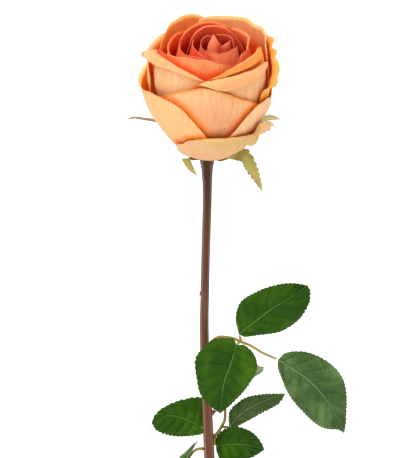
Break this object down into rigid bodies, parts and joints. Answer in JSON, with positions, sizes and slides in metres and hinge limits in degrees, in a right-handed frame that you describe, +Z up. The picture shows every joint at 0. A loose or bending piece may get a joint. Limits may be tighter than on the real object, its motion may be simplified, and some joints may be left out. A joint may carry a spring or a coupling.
{
  "type": "rose in a bud vase",
  "caption": "A layered rose bloom on a thorned stem with compound leaves, standing in a plain glazed bud vase with a round belly and narrow neck.",
  "frame": {"origin": "centre of the vase foot on the surface it stands on", "axes": "+Z up the vase and stem, -Y towards the front of the flower, +X to the right seen from the front"},
  "size_m": [0.1322, 0.0921, 0.4698],
  "materials": {
    "vase_glaze": "smooth glossy off-white glaze",
    "stem": "brown with a lighter streak, satin",
    "core": "matte green",
    "petal_outer": "soft matte peach with fine lengthwise wrinkles, orange inside",
    "petal_inner": "soft matte salmon with paler rims, deep orange red inside",
    "sepal": "matte yellow green with brown edges",
    "leaf": "satin deep green with paler veins",
    "leaf_stalk": "olive, satin"
  },
  "bodies": {
    "root": {"vase": "vase_glaze", "stem": "stem", "flower_core": "core", "petal_guard_front": "petal_outer", "petal_guard_back": "petal_outer", "petal_guard_left": "petal_outer", "petal_guard_right": "petal_outer", "petal_outer_front": "petal_outer", "petal_outer_left": "petal_outer", "petal_outer_back_right": "petal_outer", "petal_outer_right": "petal_outer", "petal_outer_back_left": "petal_outer", "petal_mid_back": "petal_outer", "petal_mid_front_right": "petal_outer", "petal_mid_front_left": "petal_outer", "petal_inner_right": "petal_inner", "petal_inner_front": "petal_inner", "petal_inner_left": "petal_inner", "petal_inner_back": "petal_inner", "petal_core_left": "petal_inner", "petal_core_right": "petal_inner", "petal_core_back": "petal_inner", "petal_heart_left": "petal_inner", "petal_heart_front": "petal_inner", "petal_bud_left": "petal_inner", "petal_bud_right": "petal_inner", "petal_tip_right": "petal_inner", "petal_tip_centre": "petal_inner", "leaf_1_leaflet_upper": "leaf", "leaf_1_leaflet_middle": "leaf", "leaf_1_leaflet_right": "leaf", "leaf_2_leaflet_tip": "leaf", "leaf_2_leaflet_left": "leaf", "leaf_2_leaflet_right_upper": "leaf", "leaf_2_leaflet_right_lower": "leaf", "leaf_3_leaflet_side": "leaf", "leaf_3_leaflet_tip": "leaf", "sepal_front_left": "sepal", "sepal_front_right": "sepal", "sepal_left": "sepal", "sepal_right": "sepal", "sepal_back": "sepal", "leaf_1_petiole": "leaf_stalk", "leaf_2_petiole": "leaf_stalk", "leaf_3_petiole": "leaf_stalk"}
  },
  "joints": []
}
